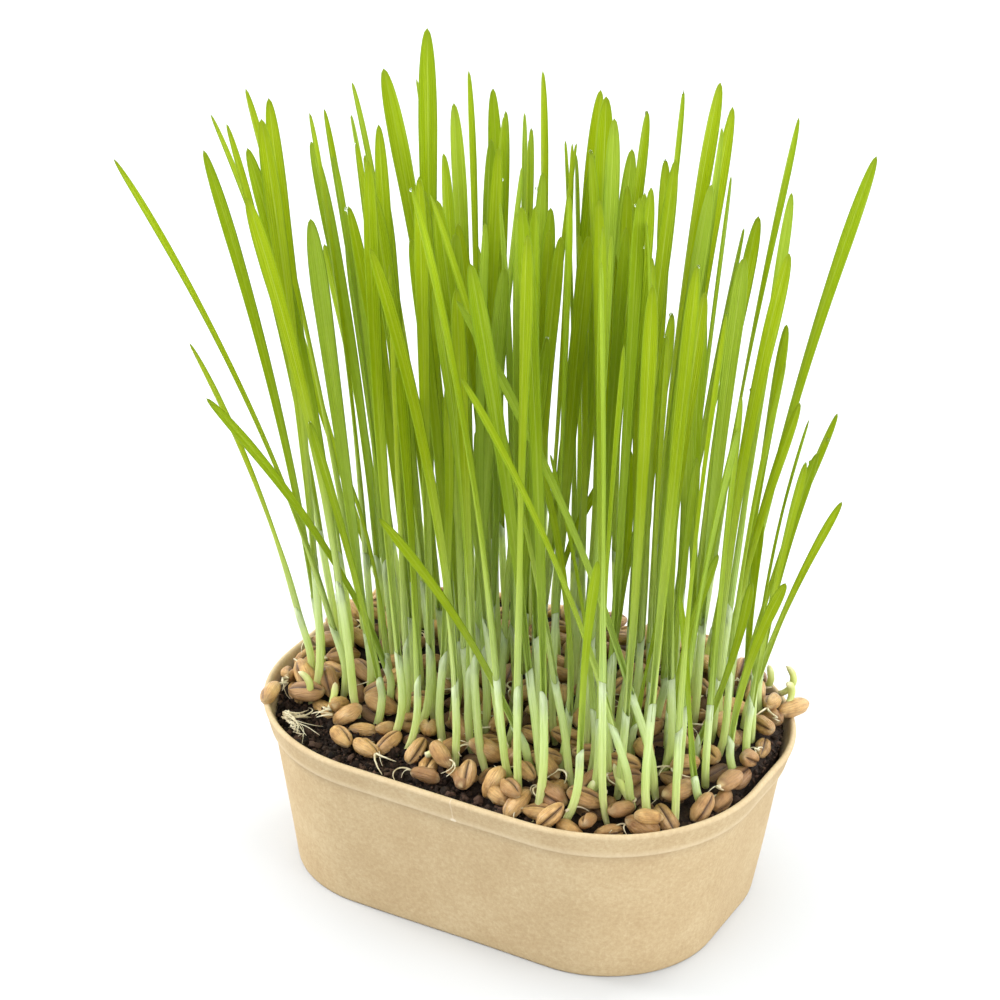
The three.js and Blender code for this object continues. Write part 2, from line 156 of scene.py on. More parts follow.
class Pile:
    """Collects the points, faces and per-point values of many small forms for one mesh."""

    def __init__(self):
        self.points = []
        self.faces = []
        self.materials = []
        self.values = {}
        self.count = 0

    def add(self, points, faces, material=0, **values):
        points = np.asarray(points, float).reshape(-1, 3)
        self.points.append(points)
        self.faces.extend([[i + self.count for i in face] for face in faces])
        self.materials.extend([material] * len(faces))
        for name, value in values.items():
            self.values.setdefault(name, []).append(np.broadcast_to(value, len(points)))
        self.count += len(points)

    def build(self, name, materials, replaced=()):
        mesh = bpy.data.meshes.new(name)
        points = np.concatenate(self.points) * MM
        mesh.from_pydata(points.tolist(), [], self.faces)
        for value_name, parts in self.values.items():
            attribute = mesh.attributes.new(value_name, "FLOAT", "POINT")
            attribute.data.foreach_set("value", np.concatenate(parts).astype(np.float32))
        for material in materials:
            mesh.materials.append(material)
        mesh.polygons.foreach_set("material_index", self.materials)
        mesh.polygons.foreach_set("use_smooth", [True] * len(mesh.polygons))
        mesh.update()
        piece = bpy.data.objects.new(name, mesh)
        bpy.context.scene.collection.objects.link(piece)
        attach(piece, "root")
        if replaced:
            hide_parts(*replaced)
        return piece


def loft_faces(rows, columns):
    """Faces of a tube of points, laid out row by row, with both of its ends closed."""
    faces = []
    for row in range(rows - 1):
        for column in range(columns):
            a = row * columns + column
            b = row * columns + (column + 1) % columns
            faces.append((a, b, b + columns, a + columns))
    faces.append(tuple(reversed(range(columns))))
    faces.append(tuple(range((rows - 1) * columns, rows * columns)))
    return faces


def ball(detail):
    """Points and faces of a unit sphere made of nearly even triangles."""
    golden = (1 + math.sqrt(5)) / 2
    points = [
        Vector(p).normalized()
        for a in (-1, 1)
        for b in (-golden, golden)
        for p in ((0, a, b), (a, b, 0), (b, 0, a))
    ]
    edge = min((points[0] - p).length for p in points[1:]) * 1.01
    corners = range(len(points))
    faces = []
    for i in corners:
        for j in corners:
            for k in corners:
                near = max((points[i] - points[j]).length, (points[j] - points[k]).length)
                near = max(near, (points[i] - points[k]).length)
                turn = (points[j] - points[i]).cross(points[k] - points[i]).dot(points[i])
                if i < min(j, k) and j != k and near < edge and turn > 0:
                    faces.append((i, j, k))
    for _ in range(detail):
        middles = {}
        finer = []

        def middle(a, b):
            key = (min(a, b), max(a, b))
            if key not in middles:
                middles[key] = len(points)
                points.append((points[a] + points[b]).normalized())
            return middles[key]

        for a, b, c in faces:
            ab, bc, ca = middle(a, b), middle(b, c), middle(c, a)
            finer += [(a, ab, ca), (b, bc, ab), (c, ca, bc), (ab, bc, ca)]
        faces = finer
    return np.array(points), faces


def smoothstep(value, low, high):
    share = np.clip((value - low) / (high - low), 0, 1)
    return share * share * (3 - 2 * share)


def turned(points, heading, pitch=0.0, roll=0.0):
    """Points rolled about X, pitched about Y and turned about Z."""
    turn = Matrix.Rotation(heading, 3, "Z") @ Matrix.Rotation(pitch, 3, "Y")
    turn = turn @ Matrix.Rotation(roll, 3, "X")
    return np.asarray(points) @ np.array(turn).T


# Materials


class Surface:
    """A node material with one main shader and short helpers for its inputs."""

    def __init__(self, name, roughness):
        self.material = bpy.data.materials.new(name)
        self.material.use_nodes = True
        self.nodes = self.material.node_tree.nodes
        self.links = self.material.node_tree.links
        self.shader = self.nodes["Principled BSDF"]
        self.shader.inputs["Roughness"].default_value = roughness
        self.place = self.nodes.new("ShaderNodeTexCoord").outputs["Object"]

    def value(self, attribute_name):
        node = self.nodes.new("ShaderNodeAttribute")
        node.attribute_name = attribute_name
        return node.outputs["Fac"]

    def stretched(self, x, y, z):
        node = self.nodes.new("ShaderNodeMapping")
        node.inputs["Scale"].default_value = (x, y, z)
        self.links.new(self.place, node.inputs["Vector"])
        return node.outputs["Vector"]

    def speckle(self, scale, detail=4, rough=0.55, vector=None):
        node = self.nodes.new("ShaderNodeTexNoise")
        node.inputs["Scale"].default_value = scale
        node.inputs["Detail"].default_value = detail
        node.inputs["Roughness"].default_value = rough
        self.links.new(vector or self.place, node.inputs["Vector"])
        return node.outputs["Fac"]

    def ramp(self, factor, *stops):
        node = self.nodes.new("ShaderNodeValToRGB")
        elements = node.color_ramp.elements
        while len(elements) < len(stops):
            elements.new(0.5)
        for element, (position, colour) in zip(elements, stops):
            element.position = position
            element.color = (*colour, 1)
        self.links.new(factor, node.inputs["Fac"])
        return node.outputs["Color"]

    def mix(self, factor, first, second):
        node = self.nodes.new("ShaderNodeMix")
        node.data_type = "RGBA"
        self.feed(node.inputs["Factor"], factor)
        self.feed(node.inputs["A"], first)
        self.feed(node.inputs["B"], second)
        return node.outputs["Result"]

    def maths(self, operation, first, second=0.0, clamp=False):
        node = self.nodes.new("ShaderNodeMath")
        node.operation = operation
        node.use_clamp = clamp
        self.feed(node.inputs[0], first)
        self.feed(node.inputs[1], second)
        return node.outputs["Value"]

    def vector(self, *pairs):
        """A vector of three of the mesh's values, each given with a factor."""
        node = self.nodes.new("ShaderNodeCombineXYZ")
        for index in range(3):
            scaled = self.maths("MULTIPLY", self.value(pairs[2 * index]), pairs[2 * index + 1])
            self.links.new(scaled, node.inputs[index])
        return node.outputs["Vector"]

    def tint(self, base, mask, share, colour):
        """A base colour, moved towards another by at most a share, as far as a mask says."""
        return self.mix(self.maths("MULTIPLY", mask, share), base, colour)

    def band(self, value, centre, width):
        """1 where a value is at the centre of a band, falling to 0 at its width."""
        away = self.maths("ABSOLUTE", self.maths("SUBTRACT", value, centre))
        return self.maths("SUBTRACT", 1.0, self.maths("DIVIDE", away, width), True)

    def axes(self):
        node = self.nodes.new("ShaderNodeSeparateXYZ")
        self.links.new(self.place, node.inputs["Vector"])
        return node.outputs["X"], node.outputs["Y"], node.outputs["Z"]

    def feed(self, socket, value):
        if isinstance(value, bpy.types.NodeSocket):
            self.links.new(value, socket)
        elif isinstance(value, tuple):
            socket.default_value = (*value, 1)
        else:
            socket.default_value = value

    def colour(self, value):
        self.feed(self.shader.inputs["Base Color"], value)

    def bump(self, height, distance, strength=1.0):
        node = self.nodes.new("ShaderNodeBump")
        node.inputs["Distance"].default_value = distance * MM
        node.inputs["Strength"].default_value = strength
        self.links.new(height, node.inputs["Height"])
        self.links.new(node.outputs["Normal"], self.shader.inputs["Normal"])

    def let_light_through(self, share, colour):
        """Mixes in light that shines through the surface from behind."""
        through = self.nodes.new("ShaderNodeBsdfTranslucent")
        self.feed(through.inputs["Color"], colour)
        mixer = self.nodes.new("ShaderNodeMixShader")
        mixer.inputs["Fac"].default_value = share
        self.links.new(self.shader.outputs["BSDF"], mixer.inputs[1])
        self.links.new(through.outputs["BSDF"], mixer.inputs[2])
        output = self.nodes["Material Output"]
        self.links.new(mixer.outputs["Shader"], output.inputs["Surface"])


def kraft_paper():
    surface = Surface("kraft_paper", 0.8)
    clouds = surface.speckle(110, 3, 0.5)
    grain = surface.speckle(1300, 6, 0.75)
    faint_clouds = surface.maths("MULTIPLY", clouds, 0.30)
    tone = surface.maths("ADD", faint_clouds, surface.maths("MULTIPLY", grain, 0.70))
    paper = surface.ramp(
        tone,
        (0.36, (0.386, 0.273, 0.145)),
        (0.50, (0.437, 0.322, 0.179)),
        (0.64, (0.492, 0.379, 0.224)),
    )
    lying = surface.speckle(420, 2, 0.5, surface.stretched(1, 1, 6))
    standing = surface.speckle(420, 2, 0.5, surface.stretched(5, 5, 1))
    dark_fibres = surface.ramp(lying, (0.63, (0, 0, 0)), (0.70, (1, 1, 1)))
    pale_fibres = surface.ramp(standing, (0.64, (0, 0, 0)), (0.71, (1, 1, 1)))
    paper = surface.tint(paper, dark_fibres, 0.13, (0.30, 0.19, 0.09))
    paper = surface.tint(paper, pale_fibres, 0.09, (0.72, 0.60, 0.42))
    # Painted shade: a darker band just under the collar's ledge.
    paper = surface.mix(surface.value("shade"), paper, (0.30, 0.20, 0.105))
    # Painted highlight: a pale line along the ledge's edge and a lighter lip.
    paper = surface.mix(surface.value("painted_highlight"), paper, (0.66, 0.54, 0.37))
    paper = surface.tint(paper, seam_line(surface), 0.5, (0.80, 0.72, 0.58))
    surface.colour(paper)
    surface.bump(surface.maths("ADD", grain, lying), 0.10, 0.5)
    surface.shader.inputs["Specular IOR Level"].default_value = 0.25
    return surface.material


def seam_line(surface):
    """1 on the narrow seam of the collar and on the speck at its foot, 0 elsewhere."""
    x, y, z = surface.axes()
    line = surface.band(x, SEAM_X * MM, 0.22 * MM)
    line = surface.maths("MULTIPLY", line, surface.maths("GREATER_THAN", z, SEAM_FOOT * MM))
    speck = surface.band(x, SEAM_X * MM, 0.7 * MM)
    speck = surface.maths("MULTIPLY", speck, surface.band(z, SEAM_SPECK_HEIGHT * MM, 0.5 * MM))
    speck = surface.maths("MULTIPLY", speck, 4.0, True)
    both = surface.maths("ADD", surface.maths("MULTIPLY", line, 0.5), speck, True)
    return surface.maths("MULTIPLY", both, surface.maths("LESS_THAN", y, 0.0))


def moist_soil():
    surface = Surface("moist_soil", 0.72)
    lumps = surface.speckle(600, 6, 0.72)
    earth = surface.ramp(
        lumps,
        (0.36, (0.003, 0.0016, 0.0009)),
        (0.54, (0.011, 0.006, 0.0030)),
        (0.74, (0.070, 0.040, 0.022)),
    )
    surface.colour(surface.tint(earth, surface.value("tone"), 0.8, (0.115, 0.062, 0.040)))
    surface.bump(lumps, 1.0, 1.0)
    surface.shader.inputs["Specular IOR Level"].default_value = 0.18
    return surface.material


def grain_husk():
    surface = Surface("grain_husk", 0.34)
    blotches = surface.speckle(380, 5, 0.6)
    husk = surface.ramp(
        blotches,
        (0.30, (0.370, 0.190, 0.052)),
        (0.48, (0.610, 0.355, 0.120)),
        (0.70, (0.790, 0.530, 0.235)),
    )
    husk = surface.tint(husk, surface.value("tone"), 0.85, (0.270, 0.125, 0.050))
    husk = surface.tint(husk, surface.value("pale"), 0.75, (0.800, 0.620, 0.340))
    # Kernels low in the bed are darkened: partly a damp husk, partly painted shade in the gaps of the
    # heap.
    husk = surface.tint(husk, surface.value("buried"), 0.85, (0.115, 0.057, 0.022))
    husk = surface.mix(surface.value("germ"), husk, (0.230, 0.105, 0.040))
    lengthwise = surface.vector("length", 0.9, "turn", 2.6, "tone", 40.0)
    wrinkles = surface.speckle(3.2, 4, 0.6, lengthwise)
    # Painted shade: the husk is darkened in the valleys of its wrinkles.
    valley_shade = surface.ramp(wrinkles, (0.34, (1, 1, 1)), (0.52, (0, 0, 0)))
    husk = surface.tint(husk, valley_shade, 0.45, (0.150, 0.062, 0.022))
    # Painted shade: the crease is painted nearly black along its groove.
    surface.colour(surface.mix(surface.value("crease"), husk, (0.050, 0.018, 0.007)))
    surface.bump(wrinkles, 0.45, 1.0)
    surface.shader.inputs["Subsurface Weight"].default_value = 0.08
    surface.shader.inputs["Subsurface Radius"].default_value = (0.0012, 0.0007, 0.0003)
    return surface.material


def rootlet():
    surface = Surface("rootlet", 0.5)
    pale = surface.ramp(surface.speckle(500), (0.3, (0.50, 0.38, 0.20)), (0.7, (0.84, 0.78, 0.58)))
    surface.colour(surface.tint(pale, surface.value("green"), 0.9, (0.56, 0.64, 0.16)))
    surface.bump(surface.speckle(2500), 0.08, 0.5)
    surface.let_light_through(0.2, (0.8, 0.76, 0.45))
    return surface.material


def pale_sheath():
    surface = Surface("pale_sheath", 0.42)
    green = surface.ramp(
        surface.value("along"),
        (0.00, (0.560, 0.440, 0.230)),
        (0.14, (0.650, 0.645, 0.290)),
        (0.40, (0.600, 0.695, 0.260)),
        (0.70, (0.630, 0.740, 0.340)),
        (0.98, (0.730, 0.810, 0.530)),
    )
    ribs = surface.maths("SINE", surface.maths("MULTIPLY", surface.value("across"), 16.0))
    lengthwise = surface.vector("across", 1.1, "along", 1.4, "tone", 50.0)
    streaks = surface.speckle(3.0, 4, 0.65, lengthwise)
    dark_streaks = surface.ramp(streaks, (0.36, (1, 1, 1)), (0.52, (0, 0, 0)))
    green = surface.tint(green, dark_streaks, 0.50, (0.360, 0.500, 0.080))
    pale_streaks = surface.ramp(streaks, (0.54, (0, 0, 0)), (0.68, (1, 1, 1)))
    green = surface.tint(green, pale_streaks, 0.35, (0.780, 0.860, 0.560))
    surface.colour(green)
    surface.bump(surface.maths("ADD", ribs, streaks), 0.05, 0.6)
    surface.shader.inputs["Specular IOR Level"].default_value = 0.35
    surface.let_light_through(0.36, (0.88, 0.94, 0.42))
    return surface.material


def green_leaf():
    surface = Surface("green_leaf", 0.46)
    along = surface.value("along")
    tone = surface.value("tone")
    blade = surface.ramp(
        along,
        (0.00, (0.680, 0.770, 0.360)),
        (0.12, (0.660, 0.765, 0.280)),
        (0.30, (0.550, 0.660, 0.110)),
        (0.55, (0.362, 0.447, 0.003)),
        (0.95, (0.328, 0.412, 0.002)),
    )
    deep = surface.ramp(tone, (0.0, (0, 0, 0)), (0.7, (1, 1, 1)), (0.82, (0, 0, 0)))
    blade = surface.tint(blade, deep, 0.72, (0.190, 0.320, 0.008))
    glaucous = surface.ramp(tone, (0.78, (0, 0, 0)), (0.88, (1, 1, 1)))
    blade = surface.tint(blade, glaucous, 0.5, (0.330, 0.520, 0.105))
    across = surface.value("across")
    veins = surface.maths("SINE", surface.maths("MULTIPLY", across, 26.0))
    lengthwise = surface.vector("across", 2.4, "along", 1.6, "tone", 70.0)
    streaks = surface.speckle(2.6, 5, 0.7, lengthwise)
    dark_streaks = surface.ramp(streaks, (0.36, (1, 1, 1)), (0.50, (0, 0, 0)))
    pale_streaks = surface.ramp(streaks, (0.52, (0, 0, 0)), (0.66, (1, 1, 1)))
    blade = surface.tint(blade, dark_streaks, 0.42, (0.150, 0.250, 0.003))
    blade = surface.tint(blade, pale_streaks, 0.38, (0.600, 0.700, 0.110))
    fine = surface.maths("MULTIPLY_ADD", veins, 0.5)
    blade = surface.tint(blade, fine, 0.14, (0.600, 0.700, 0.130))
    blade = surface.tint(blade, surface.band(across, 0.0, 0.14), 0.30, (0.620, 0.740, 0.180))
    # Painted shade: the blade is darkened along both of its margins, above its base.
    edge = surface.maths("POWER", surface.maths("ABSOLUTE", across), 6.0)
    edge = surface.maths("MULTIPLY", edge, surface.maths("MULTIPLY", along, 2.0, True))
    blade = surface.tint(blade, edge, 0.55, (0.170, 0.290, 0.040))
    point = surface.maths("POWER", along, 60.0)
    surface.colour(surface.tint(blade, point, 0.7, (0.150, 0.210, 0.030)))
    surface.bump(surface.maths("ADD", veins, streaks), 0.07, 0.7)
    surface.shader.inputs["Specular IOR Level"].default_value = 0.22
    surface.shader.inputs["Specular Tint"].default_value = (0.8, 1.0, 0.10, 1)
    surface.let_light_through(0.38, (0.66, 0.74, 0.003))
    return surface.material


def water():
    surface = Surface("water", 0.03)
    surface.shader.inputs["Transmission Weight"].default_value = 1.0
    surface.shader.inputs["IOR"].default_value = 1.33
    surface.colour((0.97, 1.0, 0.97))
    return surface.material


def pale_floor():
    surface = Surface("pale_floor", 0.9)
    cloud = surface.speckle(12, 2)
    grey = surface.ramp(cloud, (0.3, (0.515, 0.520, 0.525)), (0.7, (0.530, 0.535, 0.540)))
    surface.colour(grey)
    surface.shader.inputs["Specular IOR Level"].default_value = 0.1
    return surface.material


# Tray


def rounded_ring(inset, z, per_corner=28, per_side=12):
    """A ring of the tray's outline at an inset: arcs at the corners, points along the sides."""
    half_x = TRAY_LENGTH / 2 - inset
    half_y = TRAY_WIDTH / 2 - inset
    radius = max(CORNER_RADIUS - CORNER_TAPER * inset, 0.5)
    corners = []
    for corner in range(4):
        side_x = 1 if corner in (0, 3) else -1
        side_y = 1 if corner < 2 else -1
        for step in range(per_corner + 1):
            angle = (corner + step / per_corner) * math.pi / 2
            x = side_x * (half_x - radius) + radius * math.cos(angle)
            y = side_y * (half_y - radius) + radius * math.sin(angle)
            corners.append((x, y))
    ring = []
    for index, (x, y) in enumerate(corners):
        ring.append((x, y, z))
        if index % (per_corner + 1) == per_corner:
            next_x, next_y = corners[(index + 1) % len(corners)]
            for step in range(1, per_side):
                share = step / per_side
                ring.append((x + share * (next_x - x), y + share * (next_y - y), z))
    return np.array(ring)


def inner_wall_inset(z):
    """How far the inner wall lies in from the rim's outline at a height."""
    if z > COLLAR_FOOT:
        return LIP_WIDTH + COLLAR_INSET * (TRAY_HEIGHT - z) / (TRAY_HEIGHT - COLLAR_FOOT)
    return 1 + NECK_INSET + (BASE_INSET - NECK_INSET) * (COLLAR_FOOT - z) / COLLAR_FOOT


def tray_profile():
    """The tray's section as insets and heights, from the foot over the lip to the inner floor."""
    profile = [(8.3, 0.0), (7.75, 0.05), (7.45, 0.3), (7.33, 0.8)]
    wall_steps = 14
    for step in range(1, wall_steps):
        share = step / wall_steps
        profile.append((7.33 + share * (NECK_INSET - 7.33), 0.8 + share * (COLLAR_FOOT - 1.4)))
    profile += [(2.34, 30.15), (2.18, 30.32), (1.74, 30.46), (1.54, 30.60), (1.45, 30.78), (1.38, 31.0)]
    profile += [(1.05, 32.2), (0.62, 33.7), (0.28, 34.6), (0.08, 35.1), (0.03, 35.4), (0.12, 35.7)]
    profile += [(0.36, 35.92), (0.66, 36.0), (0.94, 35.96), (1.18, 35.80), (1.38, 35.5), (1.52, 35.1)]
    profile += [(1.8, 34.3), (2.6, 32.6), (3.4, 30.6), (5.8, 16.0), (8.1, 2.2), (8.7, 1.35), (9.8, 1.3)]
    return profile


def paper_waviness(point, z):
    """Small unevenness of the pressed paper: how far the wall moves out and the lip moves up."""
    out = 0.16 * noise.noise(Vector((point[0] * 0.05, point[1] * 0.05, z * 0.04)))
    rise = 0.12 * noise.noise(Vector((point[0] * 0.07, point[1] * 0.07, 3))) if z > 33 else 0
    return out, rise


def make_tray(paper):
    """The pressed paper tray, with a crisp foot, a turned collar and a rolled lip."""
    rings = []
    painted_highlight = []
    shade = []
    for inset, z in tray_profile():
        ring = rounded_ring(inset, z)
        outward = ring[:, :2] / np.linalg.norm(ring[:, :2], axis=1)[:, None]
        for index, point in enumerate(ring.copy()):
            out, rise = paper_waviness(point, z)
            ring[index, :2] += outward[index] * out
            ring[index, 2] += rise
        rings.append(ring)
        outside = inset < NECK_INSET
        # Painted light on the paper: a painted highlight on the ledge's edge and on the lip, and
        # painted shade just under the ledge.
        ledge_edge = outside * (30.5 < z < 31.1)
        under_ledge = outside * (30.1 < z < 30.4)
        painted_highlight.append(np.full(len(ring), 0.34 * ledge_edge + 0.12 * (z > 35.2)))
        shade.append(np.full(len(ring), 0.12 * under_ledge))
    pile = Pile()
    values = {"painted_highlight": np.concatenate(painted_highlight), "shade": np.concatenate(shade)}
    pile.add(np.concatenate(rings), loft_faces(len(rings), len(rings[0])), **values)
    return pile.build("paper_tray", [paper], ["tray"])


# Soil


def bed_height(x, y):
    """Height of the bed of grains: low at the front and heaped at the back."""
    away = math.hypot(x - HEAP_CENTRE[0], y - HEAP_CENTRE[1]) / HEAP_REACH
    heap = HEAP_RISE * math.exp(-away * away)
    return BED_FRONT + (BED_BACK - BED_FRONT) * smoothstep(y + 0.12 * x, -26, 14) + heap


def inside_depth(x, y, inset):
    """How far a point lies inside the tray's outline at an inset; negative outside."""
    radius = CORNER_RADIUS - CORNER_TAPER * inset
    out_x = abs(x) - (TRAY_LENGTH / 2 - inset - radius)
    out_y = abs(y) - (TRAY_WIDTH / 2 - inset - radius)
    outside = math.hypot(max(out_x, 0), max(out_y, 0)) + min(max(out_x, out_y), 0)
    return radius - outside


def bed_depth(x, y):
    """How far a point lies inside the bed's outline; negative on the bare strip."""
    normal_x, normal_y, distance = BARE_STRIP
    return min(inside_depth(x, y, BED_INSET), distance - normal_x * x - normal_y * y)


def soil_height(x, y):
    """Height of the soil: low and bare along the front, higher under the grains."""
    under = smoothstep(bed_depth(x, y), -1.5, 3.0)
    bare = BARE_SOIL_HEIGHT + 0.5 * noise.noise(Vector((x * 0.12, y * 0.12, 9)))
    rough = noise.fractal(Vector((x * 0.55, y * 0.55, 4)), 0.9, 2.2, 4)
    return bare + (bed_height(x, y) - 1.0 - bare) * under + 0.5 * rough


def make_soil(earth):
    """The soil: a body that fills the tray, with a lumpy top and loose crumbs on it."""
    pile = Pile()
    rings = [rounded_ring(inner_wall_inset(z) + 0.35, z, 18, 10) for z in (1.7, 12, 24, 31.0)]
    top = rounded_ring(inner_wall_inset(32) + 0.35, 32, 18, 10)
    for share in np.linspace(1, 0.02, 46):
        ring = top.copy()
        ring[:, :2] *= share
        ring[:, 2] = [soil_height(x, y) for x, y in ring[:, :2]]
        rings.append(ring)
    faces = loft_faces(len(rings), len(rings[0]))
    pile.add(np.concatenate(rings), faces, tone=0.1)
    small, small_faces = ball(0)
    large, large_faces = ball(1)
    for _ in range(CRUMB_COUNT):
        x = draw.uniform(-50, 50)
        y = draw.uniform(-36, 36)
        under_kernels = bed_depth(x, y) > 1.5 and draw.random() < 0.94
        if under_kernels or inside_depth(x, y, WALL_INSET) < -0.4:
            continue
        size = 0.16 + 0.28 * draw.random() + (draw.random() < 0.08) * draw.uniform(0.2, 0.6)
        shape, shape_faces = (large, large_faces) if size > 0.45 else (small, small_faces)
        lump = shape * np.array([draw.uniform(0.6, 1.4) for _ in range(3)]) * size
        lump = lump * np.array([draw.uniform(0.6, 1.4) for _ in range(len(lump))])[:, None]
        lump = turned(lump, draw.uniform(0, FULL_TURN), draw.uniform(0, math.pi))
        lump = lump + np.array([x, y, soil_height(x, y) + 0.4 * size])
        pile.add(lump, shape_faces, tone=draw.random() ** 2.2)
    return pile.build("soil_body", [earth], ["soil"])


# Shoots


def read_shoots(node):
    """The rings of every shoot in a node of the frame, from the bed up to the tip."""
    mesh = node.data
    points = np.array([v.co for v in mesh.vertices]) / MM
    _, index, same = np.unique(points.round(2), axis=0, return_index=True, return_inverse=True)
    same = same.ravel()
    points = points[index]
    group = list(range(len(points)))

    def root_of(i):
        while group[i] != i:
            i = group[i]
        return i

    for edge in mesh.edges:
        a, b = same[edge.vertices[0]], same[edge.vertices[1]]
        if min(points[a][2], points[b][2]) > MAT_TOP + 1:
            group[root_of(a)] = root_of(b)
    members = {}
    for i, point in enumerate(points):
        if point[2] > MAT_TOP + 1:
            members.setdefault(root_of(i), []).append(point)
    shoots = []
    for corners in members.values():
        corners = np.array(sorted(corners, key=lambda p: p[2]))
        rings = [corners[i : i + 3] for i in range(0, len(corners) - 1, 3)]
        shoots.append(Shoot(rings, corners[-1]))
    return shoots


def leaf_swell(leaf_share):
    """The half width of a leaf of breadth 1, before its tip is rounded."""
    return 0.75 + 1.0 * min(1.0, leaf_share / 0.82) ** 1.4


def leaf_half_width(shoot, leaf_share):
    """Half the width of a shoot's leaf at a share of its length, with the tip rounded."""
    rounding = math.sqrt(max(0.0, 1 - max(0.0, (leaf_share - 0.80) / 0.20) ** 2.8))
    return max(shoot.breadth * leaf_swell(leaf_share) * rounding, 0.03)


class Shoot:
    """One shoot's axis, heading and leaf width, worked out from its rings in the frame."""

    def __init__(self, rings, tip):
        centres = [ring.mean(0) for ring in rings]
        self.root = np.array([*centres[0][:2], MAT_TOP])
        self.sheath_top = centres[1][2]
        self.tip = tip
        self.knots = np.array([self.root, *centres, tip])
        self.heading_heights = []
        self.headings = []
        widths = []
        for ring in rings[2:]:
            sides = [ring[(i + 1) % 3] - ring[i] for i in range(3)]
            side = max(sides, key=np.linalg.norm)
            angle = math.atan2(side[1], side[0])
            if self.headings:
                angle += math.pi * round((self.headings[-1] - angle) / math.pi)
            self.headings.append(angle)
            self.heading_heights.append(ring[:, 2].mean())
            widths.append(np.linalg.norm(side) / 2)
        third = rings[3]
        side = max((third[(i + 1) % 3] - third[i] for i in range(3)), key=np.linalg.norm)
        corner = third[np.argmax([abs(np.dot(p - third.mean(0), side)) for p in third])]
        apexes = [p for p in third if abs(np.dot(p - third.mean(0), side)) < 0.2 * np.dot(side, side)]
        self.keel = (apexes[0] if apexes else corner) - third.mean(0)
        leaning = smoothstep(np.linalg.norm(tip[:2] - self.root[:2]), 20, 36)
        slenderness = LEAF_SLENDERNESS + (LEANING_SLENDERNESS - LEAF_SLENDERNESS) * leaning
        if tip[2] < SHORT_TOP:
            slenderness = min(slenderness, SHORT_SLENDERNESS)
        self.breadth = slenderness * widths[1] / leaf_swell(0.78)
        self.foot = np.zeros(2)

    def at(self, z):
        """The axis point at a height, on a smooth curve through the knots."""
        knots = self.knots
        slopes = np.gradient(knots[:, :2], knots[:, 2], axis=0)
        slopes[:2] = 0
        i = int(np.clip(np.searchsorted(knots[:, 2], z) - 1, 0, len(knots) - 2))
        span = knots[i + 1, 2] - knots[i, 2]
        s = (z - knots[i, 2]) / span
        start, end = knots[i, :2], knots[i + 1, :2]
        plan = (2 * s**3 - 3 * s**2 + 1) * start + (3 * s**2 - 2 * s**3) * end
        plan = plan + span * ((s**3 - 2 * s**2 + s) * slopes[i] + (s**3 - s**2) * slopes[i + 1])
        plan = plan + self.foot * math.exp(-(z - MAT_TOP) / FOOT_DECAY)
        return np.array([*plan, z])

    def frame_at(self, z):
        """The axis point, the direction across the leaf and the direction of its keel."""
        here = self.at(z)
        ahead = self.at(z + 0.3) - self.at(z - 0.3)
        ahead = ahead / np.linalg.norm(ahead)
        heading = np.interp(z, self.heading_heights, self.headings)
        across = np.array([math.cos(heading), math.sin(heading), 0])
        across = across - ahead * np.dot(across, ahead)
        across = across / np.linalg.norm(across)
        back = np.cross(ahead, across)
        if np.dot(back, self.keel) < 0:
            back = -back
        return here, across, back


def set_feet(shoots):
    """Bends the foot of every shoot against its lean, clear of its neighbours and the wall."""
    knee = MAT_TOP + KNEE_HEIGHT
    places = np.array([shoot.at(knee)[:2] for shoot in shoots])
    for index, shoot in enumerate(shoots):
        others = np.delete(places, index, axis=0)
        lean = shoot.tip[:2] - shoot.root[:2]
        against = math.atan2(-lean[1], -lean[0])
        wildness = 2.4 - 1.7 * smoothstep(np.linalg.norm(lean), 4, 20)
        best_room = -1.0
        for _ in range(9):
            angle = against + draw.gauss(0, wildness)
            foot = draw.uniform(0.6, 4.4) * np.array([math.cos(angle), math.sin(angle)])
            end = shoot.root[:2] + foot
            if inside_depth(end[0], end[1], WALL_INSET) < 1.2:
                continue
            place = shoot.root[:2] + foot * math.exp(-KNEE_HEIGHT / FOOT_DECAY)
            room = np.linalg.norm(others - place, axis=1).min()
            if room > best_room:
                best_room, shoot.foot, places[index] = room, foot, place


def add_sheath(pile, shoot, tone):
    """The round pale sheath: a tube that ends in a slanting mouth round the leaf."""
    columns = 14
    outer_rows = 9
    inner_rows = 4
    bottom = MAT_TOP - 1.4
    top = shoot.sheath_top
    mouth = draw.uniform(0, FULL_TURN)
    slant = draw.uniform(0.5, 1.9)
    angles = np.arange(columns) / columns * FULL_TURN
    rows = []
    along = []
    for step in range(outer_rows + inner_rows):
        share = min(step / outer_rows, 1)
        inner = max(step - outer_rows, 0)
        ring = []
        for angle in angles:
            reach = bottom + share * (top - 0.4 * inner + slant * math.cos(angle - mouth) - bottom)
            here, across, back = shoot.frame_at(reach)
            radius = SHEATH_RADIUS * (0.62 + 0.38 * smoothstep(share, -0.05, 0.24) - 0.10 * share)
            radius = radius - (0.10 if inner else 0) - 0.04 * max(inner - 1, 0)
            swell = 1 + 0.06 * math.cos(2 * angle)
            outward = across * math.cos(angle) + back * math.sin(angle)
            ring.append(here + outward * radius * swell)
        rows.append(ring)
        along.append([share] * columns)
    points = np.array(rows).reshape(-1, 3)
    around = np.tile(angles, len(rows))
    faces = loft_faces(len(rows), columns)
    pile.add(points, faces, 0, along=np.ravel(along), across=around, tone=tone)


